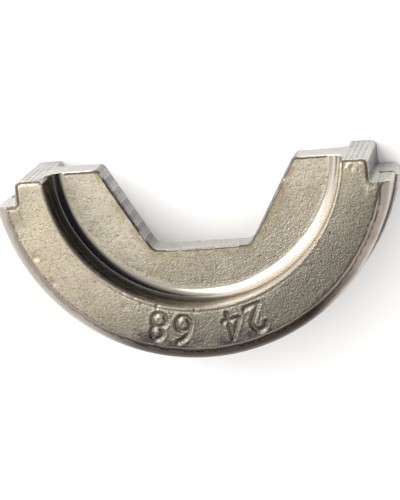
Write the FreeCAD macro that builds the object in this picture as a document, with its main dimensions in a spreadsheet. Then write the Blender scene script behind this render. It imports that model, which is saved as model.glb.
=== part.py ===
# Crimping die half: one of the two steel halves that press a cable lug into a hexagon.
#
# It is one forged piece. A thick half-round rim sits in the half-round seat of a hydraulic
# crimping head. A thinner web, centred in the rim, holds the half-hexagon nest that shapes
# the lug, and on both sides of the web the rim leaves a recess for the lug's barrel. The
# recess on the marked side was turned with a wide cove at its foot, and the other was not.
#
# Frame, in millimetres: the Z axis is the lug's axis, and passes through the centre of the
# closed hexagon. The end faces, which meet the other half, lie in the plane Y = 0, and the
# nest opens towards +Y. X runs from one end face to the other. Z = 0 is the rim's lower
# side face, on which the loose die rests.
import FreeCAD, Part
import math
import os
import Sketcher

NODE = "die_half"

# alias: (value, meaning); lengths in millimetres, angles in degrees
SIZES = {
    "seat_radius": (21.8, "half-round outside of the rim"),
    "axis_rise": (1.1, "centre of the rim's arcs, beyond the plane of the end faces"),
    "rim_depth": (5.65, "rim, from its outside in to its inner wall, at its side faces"),
    "rim_width": (14.6, "rim, from side face to side face"),
    "web_width": (4.9, "web, from face to face, centred in the rim"),
    "bevel_reach": (1.2, "outer bevel of the rim, measured along the radius"),
    "bevel_width": (1.0, "outer bevel of the rim, measured across the rim"),
    "wall_draft": (2.5, "lean of the rim's inner wall"),
    "cove_radius": (1.6, "cove between the inner wall and the web, on the marked side"),
    "foot_radius": (0.5, "the smaller cove at the same place on the lower side"),
    "across_flats": (18.4, "hexagon nest, flat to flat"),
    "nest_corner": (1.2, "rounding of the nest's two closed corners"),
    "mouth_corner": (0.7, "rounding where the nest meets the end faces"),
    "nest_break": (0.2, "bevel along both edges of the nest"),
    "ledge_reach": (2.7, "from the half-round outside in to an end block"),
    "ledge_drop": (2.6, "from the end faces down to the ledges beside them"),
    "block_corner": (0.6, "rounding of the end blocks' outer corners"),
    "ledge_corner": (0.3, "rounding between an end block and its ledge"),
    "ledge_tip": (0.45, "rounding of the ledges' outer corners"),
}

# room that a cut's outline leaves around the solid that it cuts
CLEAR = 2.0


def make_sheet(doc):
    """Put the driving sizes in a spreadsheet, one row each."""
    sheet = doc.addObject("Spreadsheet::Sheet", "Sizes")
    for row, (alias, (value, meaning)) in enumerate(SIZES.items(), start=1):
        sheet.set(f"A{row}", alias)
        sheet.set(f"B{row}", str(value))
        sheet.set(f"C{row}", meaning)
        sheet.setAlias(f"B{row}", alias)
    doc.recompute()
    return sheet


def origin_plane(body, role):
    """One of the body's own origin planes."""
    return next(item for item in body.Origin.OriginFeatures if item.Role == role)


def new_sketch(body, name, role):
    """An empty sketch on an origin plane of the body."""
    sketch = body.newObject("Sketcher::SketchObject", name)
    sketch.AttachmentSupport = [(origin_plane(body, role), "")]
    sketch.MapMode = "FlatFace"
    return sketch


def drive(sketch, constraint, name, expression):
    """Add a constraint with a name, and let an expression of the sheet set its value."""
    index = sketch.addConstraint(constraint)
    sketch.renameConstraint(index, name)
    sketch.setExpression(f"Constraints.{name}", expression)


def pin(sketch, curve, end, name, across, up):
    """Hold one end of a curve at sheet-driven coordinates."""
    for kind, tag, expression in (("DistanceX", "across", across), ("DistanceY", "up", up)):
        value = sketch.evalExpression(expression)
        held = Sketcher.Constraint(kind, -1, 1, curve, end, value)
        drive(sketch, held, f"{name}_{tag}", expression)


def outline(sketch, corners):
    """Draw a closed outline of straight lines; a corner is (name, across, up)."""
    spots = [FreeCAD.Vector(sketch.evalExpression(across), sketch.evalExpression(up), 0)
             for _, across, up in corners]
    first = sketch.GeometryCount
    for here, there in zip(spots, spots[1:] + spots[:1]):
        sketch.addGeometry(Part.LineSegment(here, there))
    for step, (name, across, up) in enumerate(corners):
        before = first + (step - 1) % len(corners)
        sketch.addConstraint(Sketcher.Constraint("Coincident", before, 2, first + step, 1))
        pin(sketch, first + step, 1, name, across, up)


def foot_distance(sheet):
    """Where the leaning inner wall meets the web, from the axis of the rim's arcs."""
    wall_height = (sheet.rim_width - sheet.web_width) / 2
    return sheet.seat_radius - sheet.rim_depth - wall_height * math.tan(math.radians(sheet.wall_draft))


def draw_section(sketch, sheet):
    """Half of the H-shaped section, from the middle plane of the web to one side face.

    Sketch X is the distance from the axis of the rim's arcs, and sketch Y is the distance
    from the middle plane. The inner wall leans, and meets the web in a sharp foot.
    """
    half_rim = sheet.rim_width / 2
    half_web = sheet.web_width / 2
    lean = math.radians(sheet.wall_draft)
    middle = FreeCAD.Vector(0, 0, 0)
    seat_middle = FreeCAD.Vector(sheet.seat_radius, 0, 0)
    seat_end = FreeCAD.Vector(sheet.seat_radius, half_rim - sheet.bevel_width, 0)
    face_outer = FreeCAD.Vector(sheet.seat_radius - sheet.bevel_reach, half_rim, 0)
    face_inner = FreeCAD.Vector(sheet.seat_radius - sheet.rim_depth, half_rim, 0)
    foot = FreeCAD.Vector(foot_distance(sheet), half_web, 0)
    web_middle = FreeCAD.Vector(0, half_web, 0)
    corners = [middle, seat_middle, seat_end, face_outer, face_inner, foot, web_middle]

    floor, seat, bevel, face, wall, web, core = range(len(corners))
    for here, there in zip(corners, corners[1:] + corners[:1]):
        sketch.addGeometry(Part.LineSegment(here, there))
    for before, after in zip(range(-1, core), range(len(corners))):
        sketch.addConstraint(Sketcher.Constraint("Coincident", before % len(corners), 2, after, 1))
    sketch.addConstraint(Sketcher.Constraint("Horizontal", web))
    sketch.addConstraint(Sketcher.Constraint("Vertical", core))

    pin(sketch, floor, 1, "middle", "0", "0")
    pin(sketch, seat, 1, "seat_middle", "Sizes.seat_radius", "0")
    pin(sketch, seat, 2, "seat_end", "Sizes.seat_radius",
        "Sizes.rim_width / 2 - Sizes.bevel_width")
    pin(sketch, face, 1, "face_outer", "Sizes.seat_radius - Sizes.bevel_reach",
        "Sizes.rim_width / 2")
    pin(sketch, face, 2, "face_inner", "Sizes.seat_radius - Sizes.rim_depth",
        "Sizes.rim_width / 2")
    web_height = Sketcher.Constraint("DistanceY", -1, 1, web, 2, half_web)
    drive(sketch, web_height, "web_height", "Sizes.web_width / 2")
    wall_lean = Sketcher.Constraint("Angle", wall, -math.pi / 2 - lean)
    drive(sketch, wall_lean, "wall_lean", "-(90 + Sizes.wall_draft) * 1 deg")


def revolve_rim(doc, body, sheet):
    """Turn the half section through half a turn, and mirror it to the other side face."""
    section = new_sketch(body, "section", "XZ_Plane")
    draw_section(section, sheet)
    turned = body.newObject("PartDesign::Revolution", "half_width")
    turned.Profile = section
    turned.ReferenceAxis = (section, ["V_Axis"])
    turned.Angle = 180
    turned.Reversed = True
    doc.recompute()

    whole = body.newObject("PartDesign::Mirrored", "full_width")
    whole.Originals = [turned]
    whole.MirrorPlane = (origin_plane(body, "XY_Plane"), [""])
    whole.Refine = True
    body.Tip = whole
    doc.recompute()


def cut_through(doc, body, name, outlines):
    """Cut outlines right through the rim's width, and check that they cut something."""
    before = body.Shape.Volume
    sketch = new_sketch(body, name + "_outline", "XY_Plane")
    for corners in outlines:
        outline(sketch, corners)
    cut = body.newObject("PartDesign::Pocket", name)
    cut.Profile = sketch
    cut.Type = "ThroughAll"
    cut.Midplane = True
    cut.Refine = True
    doc.recompute()
    if body.Shape.Volume >= before:
        raise RuntimeError(f"{name} cuts nothing")


def cut_end_faces(doc, body):
    """Plane both ends off below the axis of the arcs, where the two halves meet."""
    side = f"Sizes.seat_radius + {CLEAR}"
    cut_through(doc, body, "end_faces", [[
        ("low_left", f"-({side})", "-Sizes.axis_rise"),
        ("low_right", side, "-Sizes.axis_rise"),
        ("top_right", side, str(CLEAR)),
        ("top_left", f"-({side})", str(CLEAR)),
    ]])


def cut_nest(doc, body):
    """Cut the lower half of a regular hexagon, its slanted sides drawn on past its mouth."""
    depth = "Sizes.across_flats / 2"
    half_flat = "Sizes.across_flats / 2 / sqrt(3)"
    rise = f"{CLEAR}"
    half_top = f"2 * {half_flat} + {CLEAR} / sqrt(3)"
    cut_through(doc, body, "nest", [[
        ("flat_left", f"-{half_flat}", f"-Sizes.axis_rise - {depth}"),
        ("flat_right", half_flat, f"-Sizes.axis_rise - {depth}"),
        ("top_right", half_top, f"-Sizes.axis_rise + {rise}"),
        ("top_left", f"-({half_top})", f"-Sizes.axis_rise + {rise}"),
    ]])


def cut_ledges(doc, body):
    """Step the outside of both ends down, so that an end block stands inside each ledge."""
    block = "Sizes.seat_radius - Sizes.ledge_reach"
    far = f"Sizes.seat_radius + {CLEAR}"
    ledge = "-Sizes.axis_rise - Sizes.ledge_drop"
    left, right = [], []
    for name, across, up in (("inner_low", block, ledge),
                             ("outer_low", far, ledge),
                             ("outer_top", far, str(CLEAR)),
                             ("inner_top", block, str(CLEAR))):
        right.append(("right_" + name, across, up))
        left.insert(0, ("left_" + name, f"-({across})", up))
    cut_through(doc, body, "ledges", [left, right])


def edges_where(shape, test):
    """Names of the edges whose every vertex and middle point pass a test."""
    names = []
    for number, edge in enumerate(shape.Edges, start=1):
        middle = edge.valueAt((edge.FirstParameter + edge.LastParameter) / 2)
        if all(test(spot) for spot in [vertex.Point for vertex in edge.Vertexes] + [middle]):
            names.append(f"Edge{number}")
    return names


def upright_edges(shape, corners):
    """Names of the edges that run across the rim's width at any of the (x, y) corners."""
    return [name for x, y in corners
            for name in edges_where(shape, lambda spot: math.hypot(spot.x - x, spot.y - y) < 0.01)]


def dress(doc, body, kind, name, size, alias, edges):
    """Fillet or chamfer the named edges of the body as it stands."""
    if not edges:
        raise RuntimeError(f"{name} finds no edge")
    base = body.Tip
    feature = body.newObject("PartDesign::" + kind, name)
    feature.Base = (base, edges)
    feature.setExpression(size, f"Sizes.{alias}")
    doc.recompute()


def fill_feet(doc, body, sheet):
    """Fillet the feet of the inner walls: a wide cove on the marked side, a small one below."""
    foot = foot_distance(sheet)
    for name, alias, height in (("marked_cove", "cove_radius", sheet.web_width / 2),
                                ("lower_cove", "foot_radius", -sheet.web_width / 2)):
        edges = edges_where(body.Tip.Shape, lambda spot: abs(spot.z - height) < 0.01
                            and abs(math.hypot(spot.x, spot.y) - foot) < 0.01)
        dress(doc, body, "Fillet", name, "Radius", alias, edges)


def round_corners(doc, body, sheet):
    """Round the corners of the nest, its mouth, the end blocks and the ledges."""
    end = -sheet.axis_rise
    half_flat = sheet.across_flats / 2 / math.sqrt(3)
    nest_floor = end - sheet.across_flats / 2
    block_half = sheet.seat_radius - sheet.ledge_reach
    ledge = end - sheet.ledge_drop
    ledge_end = math.sqrt(sheet.seat_radius ** 2 - ledge ** 2)
    rounds = (
        ("nest_corners", "nest_corner", half_flat, nest_floor),
        ("mouth_corners", "mouth_corner", 2 * half_flat, end),
        ("block_corners", "block_corner", block_half, end),
        ("ledge_corners", "ledge_corner", block_half, ledge),
        ("ledge_tips", "ledge_tip", ledge_end, ledge),
    )
    for name, alias, x, y in rounds:
        edges = upright_edges(body.Tip.Shape, [(-x, y), (x, y)])
        dress(doc, body, "Fillet", name, "Radius", alias, edges)


def break_nest_edges(doc, body, sheet):
    """Bevel the two edges, one on each face of the web, that run round the nest."""
    half_web = sheet.web_width / 2
    end = -sheet.axis_rise
    nest_floor = end - sheet.across_flats / 2
    mouth_half = sheet.across_flats / math.sqrt(3)

    def on_nest(spot):
        on_web = abs(abs(spot.z) - half_web) < 0.01
        inside = abs(spot.x) < mouth_half and spot.y > nest_floor - 0.01
        return on_web and inside and spot.y < end - 0.4 * sheet.mouth_corner

    edges = edges_where(body.Tip.Shape, on_nest)
    dress(doc, body, "Chamfer", "nest_edges", "Size", "nest_break", edges)


def make_die_half(doc, sheet):
    """The whole die half, as one body."""
    body = doc.addObject("PartDesign::Body", NODE)
    body.Label = NODE
    body.setExpression("Placement.Base.y", "Sizes.axis_rise")
    body.setExpression("Placement.Base.z", "Sizes.rim_width / 2")
    revolve_rim(doc, body, sheet)
    fill_feet(doc, body, sheet)
    cut_end_faces(doc, body)
    cut_nest(doc, body)
    cut_ledges(doc, body)
    round_corners(doc, body, sheet)
    break_nest_edges(doc, body, sheet)
    return body


def check(doc, bodies):
    """Stop on any failed object, and on any body without one valid solid."""
    for item in doc.Objects:
        if "Invalid" in item.State or "Error" in item.State:
            raise RuntimeError(f"{item.Label} failed: {item.State}")
    for body in bodies:
        shape = body.Shape
        if shape.isNull() or not shape.isValid() or len(shape.Solids) != 1:
            raise RuntimeError(f"{body.Label} is not one valid solid")


def main():
    """Build the document, check it and write the node's file."""
    doc = FreeCAD.newDocument("CrimpingDieHalf")
    sheet = make_sheet(doc)
    bodies = [make_die_half(doc, sheet)]
    doc.recompute()
    check(doc, bodies)
    os.makedirs("parts", exist_ok=True)
    for body in bodies:
        body.Shape.exportStep(f"parts/{body.Label}.step")
        box = body.Shape.optimalBoundingBox()
        print(f"{body.Label}: {box.XLength:.2f} x {box.YLength:.2f} x {box.ZLength:.2f} mm,"
              f" {body.Shape.Volume / 1000:.3f} cm3, y {box.YMin:.2f} to {box.YMax:.2f},"
              f" z {box.ZMin:.2f} to {box.ZMax:.2f}")


main()
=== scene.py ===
# %% [markdown]
# # A crimping die half, dressed in Blender
# The object is one half of a die that presses a cable lug into a hexagon. It is a single
# forging: a thick half-round rim, a thinner web inside it, and half a hexagon cut into the
# web. The CAD model holds its form. This lesson gives it the skin of the real thing: forged
# grain on the flat faces, turned hollows, planed ends, stamped numbers and nickel plating.

# %% Load the frame
import math

import bmesh
import bpy
import numpy as np
from mathutils import Matrix, Vector


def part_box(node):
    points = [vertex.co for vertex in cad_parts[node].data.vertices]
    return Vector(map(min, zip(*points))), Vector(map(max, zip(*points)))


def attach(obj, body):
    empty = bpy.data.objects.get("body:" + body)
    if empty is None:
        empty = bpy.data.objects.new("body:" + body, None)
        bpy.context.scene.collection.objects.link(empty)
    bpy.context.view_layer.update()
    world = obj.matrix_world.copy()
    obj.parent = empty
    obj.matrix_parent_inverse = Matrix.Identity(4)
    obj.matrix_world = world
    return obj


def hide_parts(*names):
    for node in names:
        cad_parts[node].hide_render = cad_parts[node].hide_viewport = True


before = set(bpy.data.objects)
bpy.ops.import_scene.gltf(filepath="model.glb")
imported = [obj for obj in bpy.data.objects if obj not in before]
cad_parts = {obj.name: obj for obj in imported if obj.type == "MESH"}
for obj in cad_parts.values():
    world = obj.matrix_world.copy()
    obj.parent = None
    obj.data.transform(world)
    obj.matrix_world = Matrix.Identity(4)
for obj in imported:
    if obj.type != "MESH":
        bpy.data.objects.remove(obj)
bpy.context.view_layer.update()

# %% [markdown]
# ## Sizes
# A designer keeps the sizes in one place. The overall ones are read from the CAD node, so
# the dressed die always fits it. The rest repeat the die's own driving sizes, in
# millimetres, and every length below is worked out from them.

# %% Driving sizes
MM = 0.001
NODE = "die_half"
low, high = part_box(NODE)
RIM_WIDTH = (high.z - low.z) / MM
AXIS_RISE = 1.1
SEAT_RADIUS = AXIS_RISE - low.y / MM
RIM_DEPTH = 5.65
WEB_WIDTH = 4.9
BEVEL_REACH, BEVEL_WIDTH = 1.2, 1.0
WALL_DRAFT = math.radians(2.5)
COVE_RADIUS, FOOT_RADIUS = 1.6, 0.5
ACROSS_FLATS = 18.4
NEST_CORNER, MOUTH_CORNER = 1.2, 0.7
NEST_BREAK = 0.2
LEDGE_REACH, LEDGE_DROP = 2.7, 2.6
BLOCK_CORNER, LEDGE_CORNER, LEDGE_TIP = 0.6, 0.3, 0.45

BORE_RADIUS = SEAT_RADIUS - RIM_DEPTH
FACE_RADIUS = SEAT_RADIUS - BEVEL_REACH
BLOCK_HALF = SEAT_RADIUS - LEDGE_REACH
HALF_RIM, HALF_WEB = RIM_WIDTH / 2, WEB_WIDTH / 2
HALF_FLAT = ACROSS_FLATS / 2 / math.sqrt(3)
print(f"rim {RIM_WIDTH:.2f} wide, seat radius {SEAT_RADIUS:.2f}, bore radius {BORE_RADIUS:.2f}")

# %% [markdown]
# ## The section as a lattice
# The die is a section swept round an arc. A voxel remesh would round its edges and waste
# faces, so the surface is drawn on a lattice instead. Columns run from the nest out to the
# seat, rows run from the middle plane up to the side face, and each lattice point knows its
# radius and height. The cove and the outer bevel cross the lattice on its diagonal.

# %% Rows and columns of the lattice
WEB_ROWS, COVE_STEPS, WALL_ROWS, BEVEL_STEPS = 5, 8, 8, 5
WEB_COLUMNS, FACE_COLUMNS = 22, 44
EDGE_GAP, CRACK_HALF = 0.14, 0.3


def spaced(start, stop, count, near_start=0.0, near_stop=0.0):
    """Even steps from start to stop, with one more step close to an end where asked."""
    values = list(np.linspace(start, stop, count + 1))
    if near_start:
        values.insert(1, start + math.copysign(near_start, stop - start))
    if near_stop:
        values.insert(-1, stop - math.copysign(near_stop, stop - start))
    return np.array(values)


wall_foot = BORE_RADIUS - (HALF_RIM - HALF_WEB) * math.tan(WALL_DRAFT)
cove_turn = np.linspace(0, math.pi / 2 - WALL_DRAFT, COVE_STEPS + 1)


def cove(rounding):
    """Radius and height of the points of a cove, from the web round to the wall."""
    start = wall_foot - rounding / math.tan((math.pi / 2 + WALL_DRAFT) / 2)
    return start + rounding * np.sin(cove_turn), HALF_WEB + rounding * (1 - np.cos(cove_turn))


def rows(rounding):
    """Heights of all rows on one side of the middle plane."""
    web = spaced(0, HALF_WEB - NEST_BREAK, WEB_ROWS, near_start=CRACK_HALF)
    height = cove(rounding)[1]
    wall = spaced(height[-1], HALF_RIM - BEVEL_WIDTH, WALL_ROWS)
    return np.concatenate([web, [HALF_WEB], height[1:], wall[1:], bevel_rows[1:]])


bevel_rows = spaced(HALF_RIM - BEVEL_WIDTH, HALF_RIM, BEVEL_STEPS, near_stop=EDGE_GAP)
bevel_steps = len(bevel_rows) - 1
row_height = {1: rows(COVE_RADIUS), -1: rows(FOOT_RADIUS)}

web_share = np.insert(np.linspace(0, 1, WEB_COLUMNS + 1), 1, NEST_BREAK / 4)
face_share = spaced(0, 1, FACE_COLUMNS)
WEB_TOP = WEB_ROWS + 2
TOP = len(row_height[1]) - 1
WEB_END = len(web_share) - 1
WALL = WEB_END + COVE_STEPS
FACE_END = WALL + FACE_COLUMNS
SEAT = FACE_END + bevel_steps
print(f"{SEAT + 1} columns, {2 * TOP + 1} rows")


def highest_row(column):
    """The highest row that is inside the metal in a column."""
    if column == 0:
        return WEB_TOP - 1
    if column <= WEB_END:
        return WEB_TOP
    if column < WALL:
        return WEB_TOP + column - WEB_END
    if column <= FACE_END:
        return TOP
    return TOP - (column - FACE_END)


# %% [markdown]
# ## The ends
# At each end the rim stops in a flat block, steps down its side, and runs out along a
# ledge. The points along that line are spread by length, and the line has the two small
# radii of the CAD model. Away from the ends the same columns spread evenly over the face.

# %% The line of an end, from the bore out to the ledge's edge
def arc_points(centre_x, centre_y, radius, start, stop, count=7):
    """Points on an arc, angles in degrees."""
    turn = np.radians(np.linspace(start, stop, count))
    return np.stack([centre_x + radius * np.cos(turn), centre_y + radius * np.sin(turn)], 1)


def end_line():
    """The end's outline on a side face, for the end on the right."""
    ledge_end = math.sqrt(FACE_RADIUS ** 2 - (LEDGE_DROP + AXIS_RISE) ** 2)
    bore_end = math.sqrt(BORE_RADIUS ** 2 - AXIS_RISE ** 2)
    return np.concatenate([
        [[bore_end, 0]],
        arc_points(BLOCK_HALF - BLOCK_CORNER, -BLOCK_CORNER, BLOCK_CORNER, 90, 0),
        arc_points(BLOCK_HALF + LEDGE_CORNER, LEDGE_CORNER - LEDGE_DROP, LEDGE_CORNER, 180, 270),
        [[ledge_end, -LEDGE_DROP]],
    ])


line = end_line()
line_length = np.concatenate([[0], np.cumsum(np.hypot(*np.diff(line, axis=0).T))])
line_share = line_length / line_length[-1]
end_x = np.interp(face_share, line_share, line[:, 0])
end_y = np.interp(face_share, line_share, line[:, 1])
block_share = (BLOCK_HALF - line[0, 0]) / line_length[-1]
ledge_share = 1 - (line[-1, 0] - BLOCK_HALF) / line_length[-1]
face_depth = FACE_RADIUS - BORE_RADIUS
face_radius = np.interp(face_share, [0, block_share, ledge_share, 1],
                        [BORE_RADIUS, BORE_RADIUS + 0.5 * face_depth,
                         FACE_RADIUS - 0.25 * face_depth, FACE_RADIUS])
BLOCK_END = WALL + int(np.searchsorted(face_share, block_share))
print(f"end line {line_length[-1]:.2f} mm long, block top ends at column {BLOCK_END}")

# %% [markdown]
# ## Stations along the sweep
# Each station is one copy of the section. They are closer together where the numbers are
# stamped into the rim, because a stroke needs several faces across its width.

# %% Stations from the left end to the right end
NUMBERS_FROM, NUMBERS_TO = 0.385, 0.64
end_steps = np.array([0, 0.0014, 0.003, 0.005, 0.008])
stations = np.concatenate([
    end_steps,
    np.linspace(0.0115, NUMBERS_FROM, 80, endpoint=False),
    np.linspace(NUMBERS_FROM, NUMBERS_TO, 160, endpoint=False),
    np.linspace(NUMBERS_TO, 1 - 0.0115, 76),
    1 - end_steps[::-1],
])
print(len(stations), "stations")

# %% The nest's wall, seen from the middle of the rim
TAN_30 = math.tan(math.radians(30))


def circle_hit(side_x, side_y, centre, radius, far):
    """Distance along a ray to a circle, to its far or its near side."""
    along = centre[0] * side_x + centre[1] * side_y
    gap = np.maximum(along ** 2 - centre[0] ** 2 - centre[1] ** 2 + radius ** 2, 0)
    return along + (np.sqrt(gap) if far else -np.sqrt(gap))


def nest_distance(turn):
    """How far the nest's wall is from the rim's centre, in each direction."""
    side_x, side_y = np.abs(np.cos(turn)), np.sin(turn)
    floor_y = -AXIS_RISE - ACROSS_FLATS / 2
    slant_x, slant_y = math.cos(math.radians(30)), -math.sin(math.radians(30))
    to_floor = floor_y / side_y
    to_slant = (slant_x * 2 * HALF_FLAT - slant_y * AXIS_RISE) / (slant_x * side_x + slant_y * side_y)
    plain = np.minimum(to_floor, to_slant)
    hit_x, hit_y = plain * side_x, plain * side_y

    floor_reach = NEST_CORNER * TAN_30
    floor_centre = (HALF_FLAT - floor_reach, floor_y + NEST_CORNER)
    near_floor = np.hypot(hit_x - HALF_FLAT, hit_y - floor_y) < floor_reach
    mouth_reach = MOUTH_CORNER * TAN_30
    mouth_centre = (2 * HALF_FLAT + mouth_reach, -AXIS_RISE - MOUTH_CORNER)
    near_mouth = np.hypot(hit_x - 2 * HALF_FLAT, hit_y + AXIS_RISE) < mouth_reach
    near_mouth |= hit_y > -AXIS_RISE - 0.01
    reach = np.where(near_floor, circle_hit(side_x, side_y, floor_centre, NEST_CORNER, True), plain)
    return np.where(near_mouth, circle_hit(side_x, side_y, mouth_centre, MOUTH_CORNER, False), reach)


# %% Where a lattice point is
SPREAD_OVER = 0.15
bevel_radius = FACE_RADIUS + (HALF_RIM - bevel_rows[::-1]) * BEVEL_REACH / BEVEL_WIDTH
mouth_turn = math.atan2(-AXIS_RISE, 2 * HALF_FLAT + MOUTH_CORNER * TAN_30)


def rim_point(column, row, share, height):
    """Radius and turn of points from the cove outwards."""
    step = np.clip(column - WEB_END, 0, COVE_STEPS)
    face = np.clip(column - WALL, 0, FACE_COLUMNS)
    bevel = np.clip(column - FACE_END, 0, bevel_steps)
    wall = BORE_RADIUS - (HALF_RIM - np.abs(height)) * math.tan(WALL_DRAFT)
    in_cove = np.where(row > 0, cove(COVE_RADIUS)[0][step], cove(FOOT_RADIUS)[0][step])
    radius = np.where(column <= WALL, in_cove, face_radius[face])
    radius = np.where((column == WALL) & (np.abs(row) > WEB_TOP + COVE_STEPS), wall, radius)
    radius = np.where(column > FACE_END, bevel_radius[bevel], radius)

    on_line = (column > WALL) & (column <= FACE_END)
    at_y = np.where(on_line, end_y[face], np.where(column > FACE_END, -LEDGE_DROP, 0.0))
    at_x = np.where(on_line, end_x[face], np.sqrt(radius ** 2 - (at_y - AXIS_RISE) ** 2))
    end_radius = np.hypot(at_x, at_y - AXIS_RISE)
    end_turn = np.arctan2(at_y - AXIS_RISE, at_x)

    near = np.clip(1 - np.minimum(share, 1 - share) / SPREAD_OVER, 0, 1)
    radius = radius + (end_radius - radius) * near ** 2
    return radius, (-math.pi - end_turn) + (math.pi + 2 * end_turn) * share


def lattice_point(column, row, share):
    """Place of lattice points in millimetres; share is 0 at the left end and 1 at the right."""
    height = np.where(row > 0, row_height[1][np.abs(row)], -row_height[-1][np.abs(row)])
    radius, turn = rim_point(column, row, share, height)
    x, y = radius * np.cos(turn), AXIS_RISE + radius * np.sin(turn)
    nest_turn = (-math.pi - mouth_turn) + (math.pi + 2 * mouth_turn) * share
    nest = nest_distance(nest_turn)
    nest_x, nest_y = nest * np.cos(nest_turn), AXIS_RISE + nest * np.sin(nest_turn)
    part = web_share[np.clip(column, 0, WEB_END)]
    inside = column < WEB_END
    x = np.where(inside, nest_x + (x - nest_x) * part, x)
    y = np.where(inside, nest_y + (y - nest_y) * part, y)
    return np.stack([x, y, height + HALF_RIM], -1)


# %% [markdown]
# ## Skinning the lattice
# The outline of the section is a closed loop of lattice points. The loop at every station
# makes the long skin, and the lattice itself closes the two ends. Every face is given the
# zone that it belongs to, because a forged face and a turned one are finished differently.

# %% Loop, zones and faces
FORGED, TURNED, SATIN, PLANED, NEST = range(5)


def upper_loop():
    """(column, row, zone of the face that follows) from the nest's middle up and out."""
    loop = [(0, row, NEST) for row in range(0, WEB_TOP)]
    loop += [(column, WEB_TOP, FORGED) for column in range(1, WEB_END)]
    loop += [(WEB_END + step, WEB_TOP + step, TURNED if step else FORGED) for step in range(COVE_STEPS)]
    loop += [(WALL, row, TURNED) for row in range(WEB_TOP + COVE_STEPS, TOP)]
    loop += [(column, TOP, FORGED) for column in range(WALL, FACE_END)]
    loop += [(FACE_END + step, TOP - step, SATIN) for step in range(bevel_steps)]
    loop += [(SEAT, row, SATIN) for row in range(TOP - bevel_steps, -1, -1)]
    return loop


upper = upper_loop()
lower = [(column, -row) for column, row, _ in upper[-2:0:-1]]
lower_zones = [zone for _, _, zone in upper[-2::-1]]
loop_column = np.array([entry[0] for entry in upper] + [entry[0] for entry in lower])
loop_row = np.array([entry[1] for entry in upper] + [entry[1] for entry in lower])
loop_zone = np.array([entry[2] for entry in upper[:-1]] + lower_zones)
LOOP = len(loop_column)
print(LOOP, "points in the loop")


def skin_faces(station_count):
    """Quads of the long skin, and the zone of each."""
    first = np.arange(station_count - 1)[:, None] * LOOP
    here = np.arange(LOOP)[None, :]
    there = (here + 1) % LOOP
    quads = np.stack([first + here, first + there, first + LOOP + there, first + LOOP + here], -1)
    return quads.reshape(-1, 4), np.tile(loop_zone, station_count - 1)


def cap_lattice(first_new, on_skin):
    """Faces of one end: lattice cells inside the metal, with three or four corners."""
    index, extra, cells = dict(on_skin), [], []

    def vertex(spot):
        if spot not in index:
            index[spot] = first_new + len(extra)
            extra.append(spot)
        return index[spot]

    for column in range(SEAT):
        for row in range(-TOP, TOP):
            cell = [(column, row), (column + 1, row), (column + 1, row + 1), (column, row + 1)]
            inside = [spot for spot in cell if abs(spot[1]) <= highest_row(spot[0])]
            if len(inside) > 2:
                cells.append([vertex(spot) for spot in inside])
    return extra, cells


def build_lattice():
    """Faces and zones, and the lattice place (column, row, share) of every vertex."""
    count = len(stations)
    column, row, share = np.tile(loop_column, count), np.tile(loop_row, count), np.repeat(stations, LOOP)
    quads, zones = skin_faces(count)
    faces, zones = quads.tolist(), zones.tolist()
    for end, start in ((0.0, 0), (1.0, (count - 1) * LOOP)):
        spots = zip(loop_column.tolist(), loop_row.tolist())
        on_skin = {spot: start + place for place, spot in enumerate(spots)}
        extra, cells = cap_lattice(len(column), on_skin)
        faces += cells if end == 0.0 else [cell[::-1] for cell in cells]
        zones += [PLANED] * len(cells)
        column = np.append(column, [spot[0] for spot in extra])
        row = np.append(row, [spot[1] for spot in extra])
        share = np.append(share, np.full(len(extra), end))
    return faces, np.array(zones), column, row, share


faces, zones, column, row, share = build_lattice()
points = lattice_point(column, row, share)
print(len(points), "vertices,", sum(len(face) - 2 for face in faces), "triangles")

# %% [markdown]
# ## Stamped numbers
# A blunt punch pressed the numbers into the rim. A text object would lie on the face like a
# sticker, so the face itself is sunk: each digit is a few strokes, and a point of the face
# drops when it is close to one. The strokes have leaning walls and a low lip round them,
# where the punch pushed the metal aside, so they catch light on one wall and lose it on
# the other.

# %% Strokes of the digits, in a box about 2 mm wide and 3 mm tall
def ellipse(x, y, across, tall, start, stop, count=40):
    """Points on part of an ellipse, angles in degrees."""
    turn = np.radians(np.linspace(start, stop, count))
    return np.stack([x + across * np.cos(turn), y + tall * np.sin(turn)], 1)


def stroke(*corners, count=24):
    """Points on straight lines from corner to corner."""
    runs = [np.linspace(a, b, count) for a, b in zip(corners[:-1], corners[1:])]
    return np.concatenate(runs)


DIGITS = {
    "2": [ellipse(0, 0.62, 0.74, 0.8, 165, -38), stroke((0.58, 0.13), (-0.78, -1.4), (0.82, -1.4))],
    "4": [stroke((0.32, -1.42), (0.32, 1.42), (-0.84, -0.62), (0.86, -0.62))],
    "6": [ellipse(0, -0.62, 0.76, 0.8, 0, 360), ellipse(0.72, -0.62, 1.48, 2.05, 180, 97)],
    "8": [ellipse(0, 0.74, 0.62, 0.68, 0, 360), ellipse(0, -0.68, 0.76, 0.74, 0, 360)],
}
NUMBER = "24 68"
DIGIT_PITCH = 2.72
NUMBER_RADIUS = 18.5
NUMBER_TURN = math.radians(-88.3)
STROKE_HALF, STROKE_DEPTH, LIP = 0.36, 0.27, 0.04


def number_strokes():
    """All stroke points in die coordinates, read from right to left with tops outwards."""
    placed = []
    for slot, digit in enumerate(NUMBER):
        if digit == " ":
            continue
        turn = NUMBER_TURN - (slot - (len(NUMBER) - 1) / 2) * DIGIT_PITCH / NUMBER_RADIUS
        out = np.array([math.cos(turn), math.sin(turn)])
        along = np.array([out[1], -out[0]])
        for points_2d in DIGITS[digit]:
            placed.append((NUMBER_RADIUS + points_2d[:, 1:]) * out + points_2d[:, :1] * along)
    return np.concatenate(placed) + [0, AXIS_RISE]


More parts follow.
